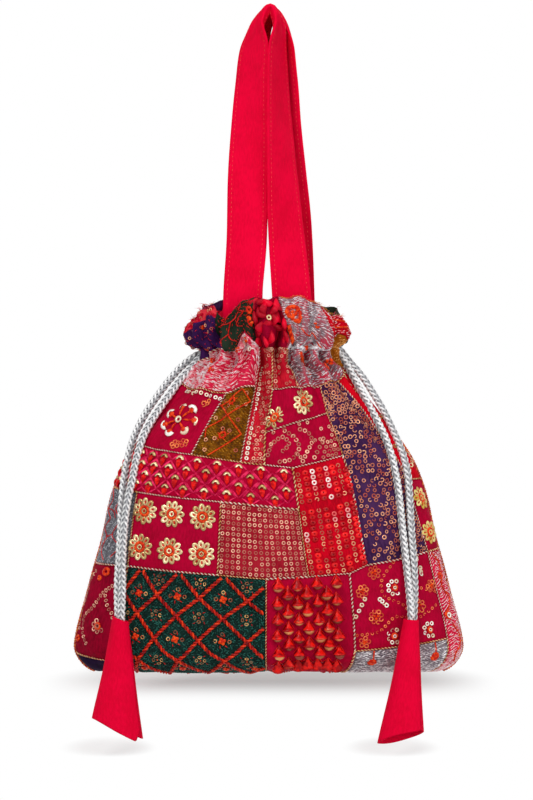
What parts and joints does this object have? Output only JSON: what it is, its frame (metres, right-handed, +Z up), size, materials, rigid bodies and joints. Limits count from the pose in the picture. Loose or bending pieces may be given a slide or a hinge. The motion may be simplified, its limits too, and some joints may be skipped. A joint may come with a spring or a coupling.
{
  "type": "potli bag",
  "caption": "Drawstring pouch of embroidered patchwork cloth with a gathered neck, cloth handles, braided drawcords and a cloth tassel where each cord ends.",
  "frame": {"origin": "the point where a hook carries both handles, under their top bends", "axes": "+Z up along the hanging bag, -Y out of its front panel, +X to the right as the front is looked at"},
  "size_m": [0.2499, 0.09, 0.4792],
  "materials": {
    "crimson_cloth": "crimson embroidered silk",
    "bright_cloth": "bright red embroidered silk",
    "rose_cloth": "rose silk with silver stitching",
    "dusty_cloth": "dusty red net with ring sequins",
    "green_cloth": "dark green embroidered cotton",
    "mossy_cloth": "moss green embroidered cotton",
    "purple_cloth": "purple cloth with copper sequins",
    "plum_cloth": "deep plum cloth",
    "mustard_cloth": "mustard cloth with dark hatching",
    "silver_cloth": "silver thread brocade over crimson",
    "slate_cloth": "slate grey stitched cloth",
    "wine_cloth": "wine red embroidered silk",
    "lining_cloth": "plain crimson cotton",
    "strap_cloth": "plain crimson cotton, folded and stitched along both edges",
    "tassel_cloth": "plain crimson cotton, raw cut edge",
    "braid": "silver grey braided cord"
  },
  "bodies": {
    "root": {"back_handle": "strap_cloth", "back_row1_crimson_1": "crimson_cloth", "back_row1_green_2": "green_cloth", "back_row1_rose_3": "rose_cloth", "back_row2_bright_2": "bright_cloth", "back_row2_dusty_3": "dusty_cloth", "back_row2_mustard_4": "mustard_cloth", "back_row2_purple_1": "purple_cloth", "back_row3_crimson_2": "crimson_cloth", "back_row3_silver_1": "silver_cloth", "back_row3_wine_3": "wine_cloth", "back_row4_crimson_2": "crimson_cloth", "back_row4_mossy_1": "mossy_cloth", "back_row4_purple_4": "purple_cloth", "back_row4_rose_3": "rose_cloth", "front_bright_ruffle": "bright_cloth", "front_bright_side": "bright_cloth", "front_crimson_ruffle": "wine_cloth", "front_crimson_spray": "crimson_cloth", "front_curl_sequin": "crimson_cloth", "front_diamond_band": "crimson_cloth", "front_dusty_grid": "dusty_cloth", "front_gold_flower": "crimson_cloth", "front_green_lattice": "green_cloth", "front_handle": "strap_cloth", "front_hem_plum_strip": "plum_cloth", "front_mossy_ruffle": "mossy_cloth", "front_mustard_cuff": "mustard_cloth", "front_mustard_lozenge": "mustard_cloth", "front_purple_ring": "purple_cloth", "front_purple_ruffle": "purple_cloth", "front_red_column": "bright_cloth", "front_red_cone_bead": "crimson_cloth", "front_rose_side": "rose_cloth", "front_rose_strip": "rose_cloth", "front_rose_yoke": "rose_cloth", "front_sequin_flower": "crimson_cloth", "front_silver_band": "silver_cloth", "front_silver_yoke": "silver_cloth", "front_six_flower": "crimson_cloth", "front_slate_vine": "slate_cloth", "front_throat_sequin": "dusty_cloth", "front_wine_flower": "wine_cloth", "front_yellow_flower": "crimson_cloth", "left_drawcord": "braid", "left_tassel": "tassel_cloth", "lining": "lining_cloth", "right_drawcord": "braid", "right_tassel": "tassel_cloth"}
  },
  "joints": []
}
